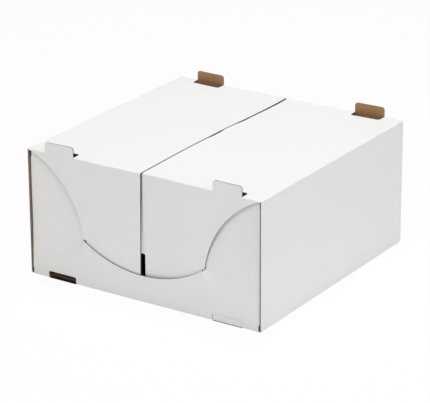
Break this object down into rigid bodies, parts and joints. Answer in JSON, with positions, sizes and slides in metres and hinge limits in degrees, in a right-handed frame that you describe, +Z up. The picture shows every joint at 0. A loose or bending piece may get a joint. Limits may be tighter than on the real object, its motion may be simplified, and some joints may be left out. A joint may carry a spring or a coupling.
{
  "type": "cake box",
  "caption": "Square corrugated cake box with scooped front and back walls, a split lid whose left half opens, and stacking tabs and slots.",
  "frame": {"origin": "middle of the footprint, on the underside of the base", "axes": "+Z up, -Y towards the front wall, +X towards the right side wall, along the direction in which the two lid halves lie side by side"},
  "size_m": [0.312, 0.312, 0.1648],
  "materials": {
    "carton_board": "white liner outside, kraft inside, matte",
    "lid_board": "white liner outside, kraft inside, matte"
  },
  "bodies": {
    "carton": {"carton": "carton_board"},
    "left_lid": {"left_lid": "lid_board"}
  },
  "joints": [
    {"name": "left_lid_fold", "type": "hinge", "parent": "carton", "child": "left_lid", "pos_m": [-0.156, 0, 0.153], "axis": [0, -1, 0], "range_deg": [0, 235]}
  ]
}
